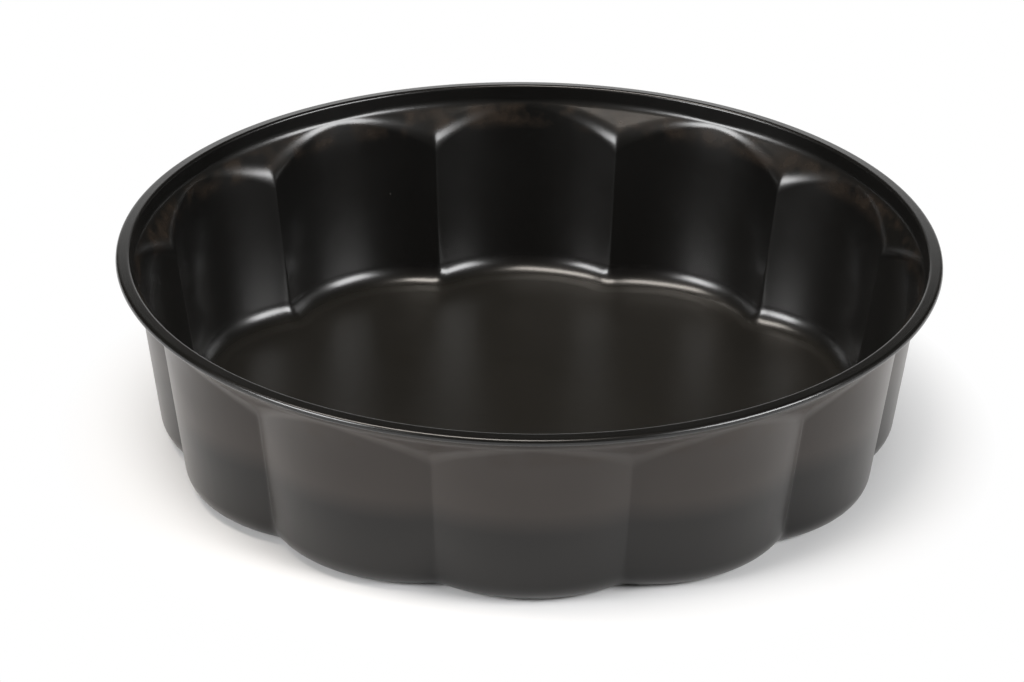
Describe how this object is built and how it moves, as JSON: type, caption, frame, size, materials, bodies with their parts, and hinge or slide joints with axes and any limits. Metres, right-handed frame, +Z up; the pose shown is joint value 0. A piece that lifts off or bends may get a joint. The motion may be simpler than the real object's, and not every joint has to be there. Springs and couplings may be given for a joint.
{
  "type": "brioche mould",
  "caption": "Low, wide, round baking mould with scalloped, tapered sides, a flat floor and a wired rim, in dark non-stick steel.",
  "frame": {"origin": "middle of the flat underside, where the mould rests", "axes": "+Z up through the open top, the middle of one lobe facing -Y and of another facing +X"},
  "size_m": [0.26, 0.26, 0.0645],
  "materials": {
    "non_stick_coat": "dark grey-black non-stick coat, satin, a little smoother inside than outside",
    "bare_wire": "drawn mild steel wire, plain"
  },
  "bodies": {
    "root": {"pressed_shell": "non_stick_coat", "rim_wire": "bare_wire"}
  },
  "joints": []
}
